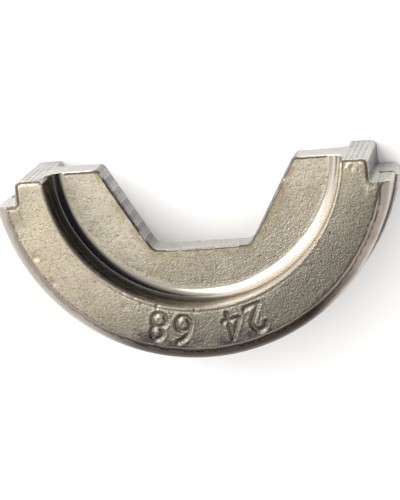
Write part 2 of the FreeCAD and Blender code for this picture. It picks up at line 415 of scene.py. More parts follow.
def nearest(places, targets):
    """Distance from each place to the closest target."""
    best = np.full(len(places), np.inf)
    for target in targets:
        best = np.minimum(best, np.hypot(places[:, 0] - target[0], places[:, 1] - target[1]))
    return best


radius = np.hypot(points[:, 0], points[:, 1] - AXIS_RISE)
turn = np.degrees(np.arctan2(points[:, 1] - AXIS_RISE, points[:, 0]))
marked_face = (row == TOP) & (column >= WALL) & (column <= FACE_END)
FAR = 9.0
stroke_gap = np.full(len(points), FAR)
stroke_gap[marked_face] = nearest(points[marked_face], number_strokes())
print(f"number spans {turn[stroke_gap < 0.3].min():.0f} to {turn[stroke_gap < 0.3].max():.0f} degrees")

# %% [markdown]
# ## Forging and wear
# Nothing forged is as clean as its drawing. The two forging dies were a little out of
# line, so the lower half of the rim stands out at one end and leaves a crack along the
# middle. The rim's edge is ragged where the turning tool broke through the skin, the planer
# left a burr, the faces have a few dents and the bore's edge a few nicks. All are small
# moves of lattice points.

# %% Helpers for uneven edges
def smoothstep(value, start, stop):
    """0 before start, 1 after stop, and a soft curve between them."""
    part = np.clip((value - start) / (stop - start), 0, 1)
    return part * part * (3 - 2 * part)


def wander(along, wavelength, seed):
    """A smooth random line along an edge, between about -1 and 1."""
    source = np.random.default_rng(seed)
    total = np.zeros_like(along)
    for _ in range(7):
        wave = wavelength * source.uniform(0.5, 2.2)
        total += np.sin(along / wave * 2 * math.pi + source.uniform(0, 6.28))
    return total / 3.2


def at_ends(share, over=0.05):
    """1 at both ends of the sweep, fading to 0 away from them."""
    return 1 - smoothstep(np.minimum(share, 1 - share), 0, over)


# %% Stamp the numbers and crown the faces
CROWN, CROWN_FROM, PILLOW = 0.24, 17.0, 0.19
END_REACH = 6.0
RING_RADIUS, RING_DEPTH = BORE_RADIUS + 0.32, 0.08
side = np.sign(row)
on_face = (np.abs(row) == TOP) & (column >= WALL) & (column <= FACE_END)
valley = np.cos(np.clip(stroke_gap / STROKE_HALF, 0, 1) * math.pi / 2) ** 2
rim_of_stroke = np.exp(-((stroke_gap - STROKE_HALF - 0.10) / 0.14) ** 2)
ring = np.exp(-((radius - RING_RADIUS) / 0.12) ** 2) * smoothstep(np.abs(turn + 94), 44, 28)
relief = LIP * rim_of_stroke - STROKE_DEPTH * valley - RING_DEPTH * ring
points[:, 2] += np.where(marked_face, relief, 0)

end_gap = np.where(column <= WEB_END, -points[:, 1], FAR)
near_end = on_face & (points[:, 1] > -END_REACH)
outline = stroke(*[tuple(corner) for corner in line], count=12)
folded = np.stack([np.abs(points[near_end, 0]), points[near_end, 1]], 1)
end_gap[near_end] = nearest(folded, outline)
crown = CROWN * np.clip((radius - CROWN_FROM) / (FACE_RADIUS - CROWN_FROM), 0, 1) ** 1.6
crown = crown * np.clip(1 - at_ends(share), 0.25, 1)
pillow = PILLOW * np.exp(-(end_gap / 0.36) ** 2)
points[:, 2] -= np.where(on_face, side * np.maximum(crown, pillow), 0)
print(f"faces crowned by up to {crown.max():.2f} mm, strokes {STROKE_DEPTH:.2f} mm deep")

# %% Dents in the faces and nicks in the bore's edge
NICK_LENGTH, NICK_REACH = 0.16, 0.35
NICKS = {-121: 0.22, -116: 0.14, -107: 0.26, -92.5: 0.14, -60: 0.12}
# turn in degrees, distance out from the bore's edge, reach and depth
DENTS = [(-151.5, 3.8, 0.30, 0.12), (-142, 4.0, 0.26, 0.10), (-118, 1.4, 0.30, 0.06),
         (-5.5, 0.6, 0.22, 0.14), (-6.5, 1.3, 0.24, 0.14),
         (-151, -1.5, 0.22, 0.10), (-118, -1.7, 0.20, 0.09)]


def spot(degrees, out):
    """Place on the die at a turn, and a distance out from the bore's edge."""
    angle = math.radians(degrees)
    return ((BORE_RADIUS + out) * math.cos(angle), AXIS_RISE + (BORE_RADIUS + out) * math.sin(angle))


flat_above = (row > 0) & (on_face | (column < WEB_END))
for degrees, out, reach, depth in DENTS:
    x, y = spot(degrees, out)
    away = np.hypot(points[:, 0] - x, points[:, 1] - y) / reach
    points[:, 2] -= np.where(flat_above, depth * np.exp(-away ** 2), 0)
for degrees, depth in NICKS.items():
    along = np.radians(turn - degrees) * BORE_RADIUS
    away = np.hypot(along / NICK_LENGTH, (radius - BORE_RADIUS) / NICK_REACH)
    points[:, 2] -= np.where(marked_face, depth * np.exp(-away ** 2), 0)
print(len(DENTS), "dents,", len(NICKS), "nicks")

# %% Wear the edges
MISMATCH, CRACK = 0.40, 0.24
RAGGED, BURR, CORNER_WEAR, LEDGE_DIP = 0.07, 0.03, 0.28, 0.06
OUTER_BAND = 1.2
arc_length = np.radians(turn) * radius

ragged = np.where((column == FACE_END) & (np.abs(row) == TOP), RAGGED, 0)
push = ragged * wander(arc_length, 0.55, 3)
outer = smoothstep(radius, FACE_RADIUS - OUTER_BAND, FACE_RADIUS)
push = push - np.where(row == 0, CRACK * outer * np.clip(at_ends(share, 0.12), 0.3, 1), 0)
bore_corner = (column == WALL) & (np.abs(row) > WEB_TOP + COVE_STEPS)
push = push + np.where(bore_corner, CORNER_WEAR * np.exp(-(points[:, 1] / 0.3) ** 2), 0)
points[:, 0] += push * np.cos(np.radians(turn))
points[:, 1] += push * np.sin(np.radians(turn))
points[:, 0] += np.where(row < 0, MISMATCH * outer, 0)
on_ledge = (np.abs(points[:, 0]) > BLOCK_HALF + 0.5) & (points[:, 1] > -LEDGE_DROP - 0.05)
points[:, 1] -= np.where(on_ledge & (row == 0), CRACK, 0)
points[:, 1] -= np.where(on_ledge & (row > 0), LEDGE_DIP, 0)

at_end = (share == 0) | (share == 1)
lip = at_end & (np.abs(row) == [highest_row(value) for value in column])
points[:, 1] += np.where(lip, BURR * (0.7 + 0.3 * wander(points[:, 0], 1.6, 5)), 0)
points[:, 2] += np.where(lip, side * BURR * (0.7 + 0.3 * wander(points[:, 0], 1.9, 6)), 0)
print(f"lower half of the rim {MISMATCH:.2f} mm out of line, crack {CRACK:.2f} mm deep")

# %% Round the outer corners of the ledges
tip = np.array([math.sqrt(SEAT_RADIUS ** 2 - (LEDGE_DROP + AXIS_RISE) ** 2), -LEDGE_DROP]) - LEDGE_TIP
from_tip = np.stack([np.abs(points[:, 0]), points[:, 1]], 1) - tip
reach = np.hypot(*from_tip.T)
over = (from_tip > 0).all(1) & (reach > LEDGE_TIP)
shrink = np.where(over, LEDGE_TIP / np.maximum(reach, 1e-9), 1)
points[:, 0] = np.where(over, np.sign(points[:, 0]) * (tip[0] + from_tip[:, 0] * shrink), points[:, 0])
points[:, 1] = np.where(over, tip[1] + from_tip[:, 1] * shrink, points[:, 1])
print(over.sum(), "points on the ledges' corners")

# %% Mesh with edges taken off
EDGE_EASE = 0.62


def mesh_object(name, points_mm, faces):
    """A mesh object at the origin from millimetre points."""
    mesh = bpy.data.meshes.new(name)
    mesh.from_pydata((points_mm * MM).tolist(), [], faces)
    mesh.update()
    piece = bpy.data.objects.new(name, mesh)
    bpy.context.scene.collection.objects.link(piece)
    return piece


def ease_edges(piece, share_of_way):
    """Draw the points of sharp edges towards the faces beside them."""
    work = bmesh.new()
    work.from_mesh(piece.data)
    sharp = {vertex for edge in work.edges if edge.calc_face_angle(0) > math.radians(38)
             for vertex in edge.verts}
    moves = []
    for vertex in sharp:
        beside = [edge.other_vert(vertex) for edge in vertex.link_edges]
        beside = [other.co for other in beside if other not in sharp]
        if beside:
            middle = sum(beside, Vector()) / len(beside)
            moves.append((vertex, vertex.co.lerp(middle, share_of_way)))
    for vertex, place in moves:
        vertex.co = place
    loose = sum(1 for edge in work.edges if len(edge.link_faces) != 2)
    print(f"{len(moves)} edge points eased, {loose} open edges,",
          f"{work.calc_volume(signed=True) * 1e6:.3f} cm3")
    work.to_mesh(piece.data)
    work.free()


die = mesh_object("dressed_die", points, faces)
ease_edges(die, EDGE_EASE)

# %% Attributes that the finishes read
def face_share_of(zone):
    """For every vertex, the share of its faces that are in the zone."""
    hits, total = np.zeros(len(points)), np.zeros(len(points))
    corners = np.array([corner for face in faces for corner in face])
    sizes = np.array([len(face) for face in faces])
    wanted = np.repeat(zones == zone, sizes)
    np.add.at(total, corners, 1)
    np.add.at(hits, corners, wanted)
    return hits / total


def store(piece, name, values, domain="POINT", kind="FLOAT"):
    """Keep one value for each vertex or face in a named attribute."""
    attribute = piece.data.attributes.new(name, kind, domain)
    attribute.data.foreach_set("value", np.asarray(values))


FURROW_COLUMNS = 4
block_top = (column > WALL) & (column <= BLOCK_END - 2) & at_end
nest_wall = lattice_point(np.zeros_like(column), np.zeros_like(row), share)
on_web = (column <= WEB_END) & (np.abs(row) >= WEB_TOP - 1)
nest_gap = np.where(on_web, np.hypot(*(points - nest_wall)[:, :2].T), FAR)
nest_path = lattice_point(np.zeros(len(stations), int), np.zeros(len(stations), int), stations)
nest_run = np.cumsum(np.r_[0, np.hypot(*np.diff(nest_path[:, :2], axis=0).T)])

store(die, "zone", zones.astype(np.int32), "FACE", "INT")
store(die, "forged", face_share_of(FORGED))
store(die, "furrow_phase", (column - WALL) / FURROW_COLUMNS)
store(die, "furrowed", face_share_of(PLANED) * block_top)
store(die, "nest", face_share_of(NEST))
store(die, "nest_run", np.interp(share, stations, nest_run))
store(die, "nest_gap", nest_gap)
store(die, "stroke_gap", stroke_gap)
store(die, "end_gap", end_gap)
edge_drop = row_height[1][[highest_row(value) for value in column]] + HALF_RIM - points[:, 2]
store(die, "edge_drop", np.where(at_end, np.maximum(edge_drop, 0), FAR))
print("attributes stored")

# %% [markdown]
# ## Materials
# One plated metal covers the whole die, but its finish changes with the tool that made each
# face. A small drawing board of node helpers keeps the three recipes short.

# %% A drawing board for node recipes
class Board:
    """Short ways to add the nodes of a shader tree and wire them."""

    def __init__(self, tree):
        self.nodes, self.links = tree.nodes, tree.links

    def node(self, kind, **settings):
        node = self.nodes.new(kind)
        for name, value in settings.items():
            setattr(node, name, value)
        return node

    def feed(self, socket, value):
        if isinstance(value, bpy.types.NodeSocket):
            self.links.new(value, socket)
        elif isinstance(value, tuple) and len(value) == 3 and socket.type == "RGBA":
            socket.default_value = (*value, 1)
        else:
            socket.default_value = value

    def math(self, operation, *values):
        node = self.node("ShaderNodeMath", operation=operation)
        for socket, value in zip(node.inputs, values):
            self.feed(socket, value)
        return node.outputs[0]

    def smooth(self, value, start, stop, low=0.0, high=1.0):
        node = self.node("ShaderNodeMapRange", interpolation_type="SMOOTHSTEP")
        for socket, entry in zip(node.inputs, (value, start, stop, low, high)):
            self.feed(socket, entry)
        return node.outputs[0]

    def colour(self, amount, first, second):
        node = self.node("ShaderNodeMix", data_type="RGBA")
        self.feed(node.inputs["Factor"], amount)
        self.feed(node.inputs[6], first)
        self.feed(node.inputs[7], second)
        return node.outputs[2]


class Recipe(Board):
    """A material, and the places on the die that its nodes read."""

    def __init__(self, name):
        self.material = bpy.data.materials.new(name)
        self.material.use_nodes = True
        super().__init__(self.material.node_tree)
        self.shader = self.nodes["Principled BSDF"]
        object_place = self.node("ShaderNodeTexCoord").outputs["Object"]
        self.place = self.vector("SCALE", object_place, scale=1 / MM)
        from_axis = self.vector("SUBTRACT", self.place, (0, AXIS_RISE, 0))
        self.x, self.y, self.z = self.split(self.place)
        across, down, _ = self.split(from_axis)
        self.radius = self.math("SQRT", self.add(self.mul(across, across), self.mul(down, down)))
        self.turn = self.math("ARCTAN2", down, across)

    def add(self, a, b):
        return self.math("ADD", a, b)

    def mul(self, a, b):
        return self.math("MULTIPLY", a, b)

    def vector(self, operation, a, b=(0, 0, 0), scale=1.0):
        node = self.node("ShaderNodeVectorMath", operation=operation)
        self.feed(node.inputs[0], a)
        if operation == "SCALE":
            node.inputs["Scale"].default_value = scale
        else:
            self.feed(node.inputs[1], b)
        return node.outputs[0]

    def split(self, vector):
        node = self.node("ShaderNodeSeparateXYZ")
        self.feed(node.inputs[0], vector)
        return node.outputs[0], node.outputs[1], node.outputs[2]

    def join(self, x, y, z):
        node = self.node("ShaderNodeCombineXYZ")
        for socket, value in zip(node.inputs, (x, y, z)):
            self.feed(socket, value)
        return node.outputs[0]

    def around(self, start, stop, low=0.0, high=1.0):
        """A soft change between two turns, given in degrees."""
        return self.smooth(self.turn, math.radians(start), math.radians(stop), low, high)

    def noise(self, size, detail=3.0, rough=0.55, place=None, seed=0.0):
        node = self.node("ShaderNodeTexNoise", noise_dimensions="4D")
        self.feed(node.inputs["Vector"], self.place if place is None else place)
        self.feed(node.inputs["W"], seed)
        self.feed(node.inputs["Scale"], 1 / size)
        self.feed(node.inputs["Detail"], detail)
        self.feed(node.inputs["Roughness"], rough)
        return node.outputs["Fac"]

    def read(self, name):
        return self.node("ShaderNodeAttribute", attribute_name=name).outputs["Fac"]

    def length(self, vector):
        node = self.node("ShaderNodeVectorMath", operation="LENGTH")
        self.feed(node.inputs[0], vector)
        return node.outputs["Value"]

    def bump(self, height, depth):
        """Bump by a height from 0 to 1, times a depth in millimetres."""
        node = self.node("ShaderNodeBump")
        node.inputs["Distance"].default_value = depth * MM
        node.inputs["Strength"].default_value = 1.0
        self.feed(node.inputs["Height"], height)
        return node.outputs[0]

    def finish(self, colour, metal, rough, normal):
        for name, value in (("Base Color", colour), ("Metallic", metal), ("Roughness", rough),
                            ("Normal", normal)):
            self.feed(self.shader.inputs[name], value)
        return self.material


# %% Forged skin under nickel
# the last colour is painted shade, mixed in towards the lower right
NICKEL, DULL_NICKEL, PAINTED_SHADE_GREY = (0.86, 0.775, 0.605), (0.74, 0.665, 0.52), (0.31, 0.29, 0.26)
# the first colour is near black, for dirt and for painted shade in lines and cracks
DARK_DIRT_AND_SHADE, STAIN = (0.06, 0.042, 0.034), (0.46, 0.33, 0.15)


def forged_skin():
    """Sandy, pebbled nickel with dirt in its low places, painted shade towards the lower right, painted
    light on the web's upper left and a painted shadow along the ends.
    """
    r = Recipe("forged_nickel")
    grain = r.noise(0.26, detail=2.0, rough=0.6, seed=1.0)
    fine = r.noise(0.13, detail=1.5, rough=0.6, seed=2.0)
    patches = r.noise(3.2, detail=3.0, seed=3.0)
    cloud = r.noise(7.0, detail=2.0, seed=4.0)
    blotch = r.noise(1.1, detail=3.0, seed=9.0)
    pits = r.smooth(r.noise(0.55, detail=1.0, rough=0.4, seed=5.0), 0.28, 0.21)
    # painted shade: a gradient that greys and darkens the skin towards the lower right, where less light
    # falls
    toward_shaded_side = r.add(r.add(r.mul(r.x, 0.42), r.mul(r.y, -1.0)), r.mul(r.add(cloud, -0.5), 6.0))
    toward_shaded_side = r.smooth(toward_shaded_side, 4.0, 18.0)
    on_web = r.smooth(r.math("ABSOLUTE", r.add(r.z, -HALF_RIM)), HALF_WEB + 0.5, HALF_WEB + 0.3)

    tone = r.colour(r.smooth(patches, 0.35, 0.65), DULL_NICKEL, NICKEL)
    tone = r.colour(r.smooth(cloud, 0.5, 0.72, 0.0, 0.3), tone, (0.66, 0.56, 0.36))
    # painted light: the web is lightened on its upper left, where the walls round it would shade it
    web_painted_light = r.mul(on_web, r.smooth(toward_shaded_side, 0.25, 0.0))
    tone = r.colour(r.mul(web_painted_light, 0.6), tone, (0.96, 0.89, 0.75))
    tone = r.colour(r.mul(toward_shaded_side, 0.8), tone, PAINTED_SHADE_GREY)
    tone = r.colour(r.smooth(grain, 0.50, 0.34, 0.0, 0.45), tone, (0.28, 0.24, 0.19))
    # the dark specks are real, but they are drawn stronger towards the painted shade on the lower right
    specks = r.mul(r.smooth(fine, 0.41, 0.28), r.add(r.mul(toward_shaded_side, 0.55), 0.15))
    tone = r.colour(specks, tone, (0.15, 0.12, 0.10))
    tone = r.colour(r.mul(pits, 0.6), tone, (0.14, 0.11, 0.08))

    nest_gap = r.read("nest_gap")
    stain = r.mul(r.smooth(nest_gap, 1.5, 0.1), r.smooth(blotch, 0.38, 0.6))
    tone = r.colour(r.mul(stain, 0.7), tone, STAIN)
    nest_line = r.mul(r.smooth(nest_gap, 0.36, 0.2), r.smooth(blotch, 0.25, 0.42))

    # a dark ragged line along the rim's outer edge, set further in on the right
    to_right = r.around(-80, -40)
    ragged = r.add(r.mul(r.noise(0.35, detail=2.0, seed=6.0), 0.7), -0.35)
    from_rim = r.math("ABSOLUTE", r.add(r.add(r.radius, -FACE_RADIUS + 0.05), ragged))
    from_rim = r.add(from_rim, r.smooth(to_right, 0.0, 1.0, 0.08, -0.10))
    rim_edge_line = r.mul(r.smooth(from_rim, 0.30, 0.08), r.smooth(r.noise(0.6, seed=7.0), 0.28, 0.44))
    # painted shadow: a dark line on the face just inside each end's edge, under the burr lip, broken up
    # by blotches
    end_gap = r.add(r.read("end_gap"), r.mul(r.add(r.noise(0.5, seed=10.0), -0.5), 0.2))
    beside = r.smooth(r.math("ABSOLUTE", r.x), BLOCK_HALF - 0.9, BLOCK_HALF - 0.2)
    end_lip_shadow = r.smooth(r.add(end_gap, r.mul(beside, -0.1)), 0.42, 0.26)
    end_lip_shadow = r.mul(end_lip_shadow, r.smooth(end_gap, 0.06, 0.14))
    end_lip_shadow = r.mul(end_lip_shadow, r.smooth(blotch, 0.28, 0.42, 0.5, 1.0))
    on_top = r.smooth(r.z, RIM_WIDTH - 0.6, RIM_WIDTH - 0.4)
    from_ring = r.math("ABSOLUTE", r.add(r.radius, -RING_RADIUS))
    ring = r.mul(r.mul(r.smooth(from_ring, 0.10, 0.04), on_top), r.smooth(blotch, 0.30, 0.45))
    ring = r.mul(ring, r.around(-142, -122))
    gap = r.read("stroke_gap")
    groove = r.mul(r.smooth(gap, 0.15, 0.03), r.smooth(r.noise(0.7, seed=8.0), 0.3, 0.55, 0.3, 0.7))
    # dirt and painted shade together: the rim's edge line, the stroke bottoms, the shadow at the ends,
    # the nest's edge and the ring, drawn near black and less metallic
    dirt_and_shade = rim_edge_line
    for other in (groove, end_lip_shadow, nest_line, r.mul(ring, 0.8)):
        dirt_and_shade = r.math("MAXIMUM", dirt_and_shade, other)

    smear = r.mul(r.smooth(r.radius, 18.8, 19.9), r.smooth(gap, 2.4, 0.9))
    smear = r.mul(smear, r.smooth(blotch, 0.36, 0.58))
    tone = r.colour(r.mul(smear, 0.85), tone, (0.13, 0.125, 0.135))
    tone = r.colour(r.mul(dirt_and_shade, 0.92), tone, DARK_DIRT_AND_SHADE)

    metal = r.smooth(dirt_and_shade, 0.0, 1.0, 1.0, 0.55)
    rough = r.smooth(fine, 0.3, 0.7, 0.38, 0.48)
    in_stroke = r.smooth(gap, STROKE_HALF + 0.2, STROKE_HALF)
    rough = r.add(rough, r.mul(in_stroke, -0.07))
    rough = r.add(rough, r.mul(smear, -0.12))
    height = r.add(r.mul(grain, 0.55), r.mul(fine, 0.45))
    height = r.add(height, r.mul(pits, -0.5))
    turned = r.noise(0.16, detail=1.0, place=r.join(r.radius, r.mul(r.turn, 1.6), 0.0), seed=11.0)
    turned = r.mul(turned, r.mul(r.smooth(r.radius, 9.0, 13.5, 0.08, 0.30), on_web))
    turned = r.mul(turned, r.around(-130, -60, 0.3, 1.0))
    height = r.mul(r.add(height, turned), r.add(r.mul(toward_shaded_side, 0.65), 0.45))
    return r.finish(tone, metal, rough, r.bump(height, 0.14))


# %% Turned nickel of the groove, the bevels and the seat
# turn in degrees, distance out from the bore's edge, height above the web, and size
RUST_DOTS = [(-25, -0.4, 0.45, 0.17), (-24, -0.9, 0.15, 0.07), (-118, -1.7, 0.0, 0.1)]


def turned_metal(name, bright, dull, rough_low, rough_high, line_depth):
    """Smooth plated metal with fine lines that run round the die, painted shade in the groove's wall,
    corner and crack and on the bevel, and a painted highlight band in the cove.
    """
    r = Recipe(name)
    round_place = r.join(r.radius, r.mul(r.turn, 0.6), r.z)
    lines = r.noise(0.10, detail=2.0, rough=0.7, place=round_place, seed=1.0)
    wide = r.noise(0.5, detail=1.0, place=round_place, seed=2.0)
    patches = r.noise(2.5, detail=3.0, seed=3.0)
    tone = r.colour(r.smooth(lines, 0.35, 0.65), dull, bright)
    tone = r.colour(r.smooth(patches, 0.5, 0.75, 0.0, 0.3), tone, (0.50, 0.42, 0.36))
    rise = r.math("ABSOLUTE", r.add(r.z, -HALF_RIM))
    in_bore = r.smooth(r.radius, 17.5, 17.0)
    # painted shade: the groove's wall is darkened to brown
    on_wall = r.mul(r.smooth(rise, HALF_WEB + 0.7 * COVE_RADIUS, HALF_WEB + 1.1 * COVE_RADIUS), in_bore)
    tone = r.colour(r.mul(on_wall, 0.9), tone, (0.32, 0.27, 0.23))
    # painted shade: the corner between the cove and the wall is darkened almost to black on the left and
    # the bottom, where it would catch a bright line
    lower = r.add(rise, r.around(-60, -108, -0.75, 0.0))
    higher = r.add(rise, r.around(-100, -125, 0.0, -1.9))
    corner = r.smooth(lower, HALF_WEB + 0.3, HALF_WEB + 0.6)
    corner = r.mul(corner, r.smooth(higher, HALF_WEB + 2.4, HALF_WEB + 1.3))
    corner = r.mul(r.mul(corner, in_bore), r.around(-50, -80))
    tone = r.colour(r.mul(corner, 0.85), tone, (0.10, 0.095, 0.095))
    # painted highlight: a pale band in the cove on the right
    painted_highlight_band = r.smooth(rise, HALF_WEB + 0.3, HALF_WEB + 0.5)
    painted_highlight_band = r.mul(painted_highlight_band, r.smooth(rise, HALF_WEB + 1.5, HALF_WEB + 1.1))
    painted_highlight_band = r.mul(r.mul(painted_highlight_band, in_bore), r.around(-60, -35))
    tone = r.colour(r.mul(painted_highlight_band, 0.5), tone, (0.92, 0.90, 0.85))

    # painted shade: the bevel and the seat are darkened
    outside = r.smooth(r.radius, FACE_RADIUS - 0.1, FACE_RADIUS + 0.1)
    tone = r.colour(r.mul(outside, 0.3), tone, (0.34, 0.30, 0.27))
    # painted shade, mottled, on the bevel's right part
    mottle = r.smooth(r.noise(2.2, detail=3.0, seed=5.0), 0.35, 0.72)
    mottled = r.mul(r.mul(outside, r.around(-62, -40)), r.mul(mottle, 0.5))
    tone = r.colour(mottled, tone, (0.26, 0.235, 0.225))
    # painted shade: the bevel is darkened to near black along the bottom
    under = r.mul(outside, r.smooth(r.turn, -0.75, -1.0))
    under = r.mul(under, r.smooth(r.turn, -2.25, -1.85))
    tone = r.colour(r.mul(under, 0.92), tone, (0.09, 0.07, 0.06))
    # painted shade: the parting crack round the outer band is drawn near black
    crack = r.mul(r.smooth(rise, 0.3, 0.14), r.smooth(r.radius, 19.0, 19.4))
    tone = r.colour(r.mul(crack, 0.9), tone, DARK_DIRT_AND_SHADE)
    for degrees, out, above_web, size in RUST_DOTS:
        place = (*spot(degrees, out), HALF_RIM + HALF_WEB + above_web)
        gap = r.length(r.vector("SUBTRACT", r.place, place))
        gap = r.add(gap, r.mul(r.noise(0.15, seed=4.0), 0.08))
        tone = r.colour(r.smooth(gap, size + 0.06, size), tone, (0.16, 0.05, 0.04))
    rough = r.smooth(patches, 0.3, 0.7, rough_low, rough_high)
    height = r.add(r.mul(lines, 0.4), r.mul(wide, 0.6))
    return r.finish(tone, 1.0, rough, r.bump(height, line_depth))


# %% Planed nickel of the ends and ledges
NEST_STEP = 1.55


def planed_metal():
    """Bright, lightly scored metal with dark furrows, painted shade on the block walls and the ledge
    crack, and a painted highlight along the edges.
    """
    r = Recipe("planed_nickel")
    scored = r.join(r.x, r.y, r.mul(r.z, 0.06))
    lines = r.noise(0.09, detail=2.0, rough=0.7, place=scored, seed=1.0)
    patches = r.noise(1.6, detail=3.0, seed=2.0)
    tone = r.colour(r.smooth(lines, 0.35, 0.65), (0.33, 0.315, 0.285), (0.50, 0.485, 0.445))
    tone = r.colour(r.smooth(patches, 0.5, 0.7, 0.0, 0.5), tone, (0.46, 0.39, 0.28))
    furrow = r.mul(r.read("furrow"), r.smooth(patches, 0.25, 0.6, 0.4, 1.0))
    tone = r.colour(r.mul(furrow, 0.95), tone, (0.13, 0.115, 0.10))
    beside = r.math("ABSOLUTE", r.x)
    # painted shade: the block's side walls are drawn almost black
    wall = r.mul(r.smooth(beside, BLOCK_HALF - 0.12, BLOCK_HALF - 0.02), r.smooth(r.y, -0.2, -0.5))
    wall = r.mul(wall, r.smooth(beside, BLOCK_HALF + 0.25, BLOCK_HALF + 0.1))
    tone = r.colour(r.mul(wall, 0.97), tone, (0.04, 0.032, 0.028))
    rise = r.math("ABSOLUTE", r.add(r.z, -HALF_RIM))
    # painted shade: the parting crack along the ledge is drawn near black
    crack = r.mul(r.smooth(rise, 0.42, 0.2), r.smooth(beside, BLOCK_HALF + 0.4, BLOCK_HALF + 0.8))
    tone = r.colour(r.mul(crack, 0.9), tone, DARK_DIRT_AND_SHADE)

    tooth = r.math("FRACT", r.mul(r.read("nest_run"), 1 / NEST_STEP))
    slant = r.mul(r.read("nest"), r.smooth(beside, HALF_FLAT - 0.4, HALF_FLAT + 0.2))
    chatter = r.colour(r.smooth(tooth, 0.40, 0.60), (0.05, 0.046, 0.05), (0.15, 0.143, 0.132))
    chatter = r.colour(r.smooth(tooth, 0.92, 0.97), chatter, (0.33, 0.32, 0.30))
    tone = r.colour(r.mul(slant, 0.92), tone, chatter)
    # painted highlight: a pale line along the edges of the ends
    tone = r.colour(r.smooth(r.read("edge_drop"), 0.24, 0.12), tone, (0.92, 0.90, 0.85))
    rough = r.smooth(patches, 0.3, 0.7, 0.26, 0.36)
    return r.finish(tone, 1.0, rough, r.bump(lines, 0.01))


finishes = {
    FORGED: forged_skin(),
    TURNED: turned_metal("turned_nickel", (0.68, 0.63, 0.55), (0.57, 0.525, 0.455), 0.14, 0.21, 0.006),
    SATIN: turned_metal("satin_nickel", (0.62, 0.56, 0.51), (0.52, 0.465, 0.42), 0.26, 0.34, 0.008),
    PLANED: planed_metal(),
}
finishes[NEST] = finishes[PLANED]
die.data.materials.append(finishes[FORGED])

# %% [markdown]
# ## Grain and tool marks with Geometry Nodes
# The skin's grain, the planer's furrows and the steps in the nest follow one rule over a
# whole face, so a node tree makes them. It moves each point along its normal by a named
# height, and a zone attribute says which rule counts where.

# %% The tree
class Tree:
    """A Geometry Nodes tree with named inputs."""

    def __init__(self, name, inputs):
        self.tree = bpy.data.node_groups.new(name, "GeometryNodeTree")
        self.tree.interface.new_socket("Geometry", in_out="INPUT", socket_type="NodeSocketGeometry")
        self.keys = {}
        for label, value in inputs.items():
            socket = self.tree.interface.new_socket(label, in_out="INPUT", socket_type="NodeSocketFloat")
            socket.default_value = value
            self.keys[label] = socket.identifier
        self.tree.interface.new_socket("Geometry", in_out="OUTPUT", socket_type="NodeSocketGeometry")
        self.start = self.add("NodeGroupInput")
        self.end = self.add("NodeGroupOutput")

    def add(self, kind, links=None, **settings):
        node = self.tree.nodes.new(kind)
        for name, value in settings.items():
            setattr(node, name, value)
        for key, value in (links or {}).items():
            if isinstance(value, bpy.types.NodeSocket):
                self.tree.links.new(value, node.inputs[key])
            else:
                node.inputs[key].default_value = value
        return node

    def given(self, label):
        return self.start.outputs[label]

    def math(self, operation, a, b=0.0):
        return self.add("ShaderNodeMath", {0: a, 1: b}, operation=operation).outputs[0]

    def named(self, name, kind="FLOAT"):
        return self.add("GeometryNodeInputNamedAttribute", {"Name": name}, data_type=kind).outputs[0]

    def noise(self, place, size, detail):
        scale = self.math("DIVIDE", 1.0, size)
        node = self.add("ShaderNodeTexNoise", {"Vector": place, "W": self.given("Seed"), "Scale": scale,
                                               "Detail": detail}, noise_dimensions="4D")
        return self.math("SUBTRACT", node.outputs[0], 0.5)


SKIN_INPUTS = {"Grain size": 0.55, "Grain height": 0.045, "Swell size": 4.0, "Swell height": 0.09,
               "Furrow depth": 0.05, "Step pitch": NEST_STEP, "Step height": 0.03,
               "Seed": 5.0}


